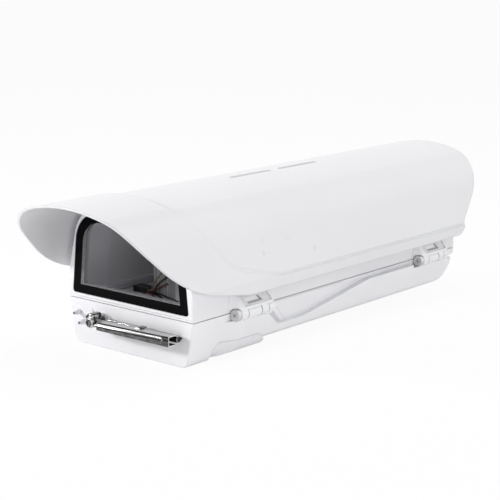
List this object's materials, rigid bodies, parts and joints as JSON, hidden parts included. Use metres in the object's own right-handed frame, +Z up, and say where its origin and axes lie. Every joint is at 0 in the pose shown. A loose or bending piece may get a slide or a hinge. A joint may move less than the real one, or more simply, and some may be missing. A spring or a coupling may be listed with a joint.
{
  "type": "security camera housing",
  "caption": "Outdoor security camera housing: white hinged cover with framed window and sunshield, base pan, window wiper, washer nozzles and mounting plate.",
  "frame": {"origin": "centre of the four mounting holes, on the underside of the mounting plate", "axes": "+Z up, +Y from the window to the rear, +X towards the side with the cover's hinge"},
  "size_m": [0.1944, 0.5988, 0.1685],
  "materials": {
    "white_shell": "fine satin white moulded shell",
    "white_shield": "smooth satin white sheet",
    "black_rubber": "matt black rubber",
    "window": "clear flat pane",
    "stainless": "bright stainless steel",
    "polished": "polished stainless steel",
    "sheet_aluminium": "bare aluminium sheet",
    "cast_zinc": "grey cast metal",
    "grey_plastic": "grey plastic",
    "black_plastic": "black plastic",
    "green_board": "green lacquered board",
    "brass": "plain brass",
    "black_wire": "black wire sleeve",
    "white_wire": "white wire sleeve",
    "yellow_wire": "yellow wire sleeve",
    "red_wire": "red wire sleeve"
  },
  "bodies": {
    "base": {"base_shell": "white_shell", "base_gasket": "black_rubber", "chin_cover": "white_shell", "chin_screws": "stainless", "mount_plate": "white_shell", "mount_plate_screws": "stainless", "gland_plugs": "black_rubber", "gland_bodies": "grey_plastic", "gland_caps": "grey_plastic", "gland_locknuts": "grey_plastic", "hinge_screws": "stainless", "latch_screws": "stainless", "camera_tray": "sheet_aluminium", "tray_screws": "stainless", "camera_bracket": "polished", "camera_screw": "stainless", "wiper_gearbox": "cast_zinc", "wiper_motor": "stainless", "shaft_bush": "white_shell", "washer_nozzles": "white_shell", "nozzle_nuts": "brass", "front_plug": "white_shell", "board_standoffs": "brass", "control_board": "green_board", "board_screws": "stainless", "terminal_block": "black_plastic", "harness_plug": "black_plastic", "black_lead_up": "black_wire", "black_lead_long": "black_wire", "black_lead_down": "black_wire", "white_lead": "white_wire", "yellow_lead": "yellow_wire", "red_lead_up": "red_wire", "red_lead_down": "red_wire"},
    "cover": {"cover_shell": "white_shell", "window_glass": "window", "window_seal": "black_rubber", "sunshield": "white_shield", "shield_spacers": "white_shell", "shield_screws": "stainless"},
    "wiper_hub": {"wiper_shaft": "stainless", "wiper_hub": "polished", "hub_nut": "polished", "arm_pivot_pin": "stainless", "arm_spring": "stainless"},
    "wiper_arm": {"wiper_channel": "polished", "blade_carrier": "polished", "wiper_rubber": "black_rubber", "blade_rivet": "stainless"}
  },
  "joints": [
    {"name": "cover_hinge", "type": "hinge", "parent": "base", "child": "cover", "pos_m": [0.091, 0, 0.0445], "axis": [0, 1, 0], "range_deg": [0, 95]},
    {"name": "wiper_sweep", "type": "hinge", "parent": "base", "child": "wiper_hub", "pos_m": [-0.035, -0.24, 0.0305], "axis": [0, -1, 0], "range_deg": [0, 95]},
    {"name": "arm_lift", "type": "hinge", "parent": "wiper_hub", "child": "wiper_arm", "pos_m": [-0.029, -0.2526, 0.0287], "axis": [0, 0, -1], "range_deg": [0, 25], "stiffness_Nm_per_rad": 0.2}
  ]
}
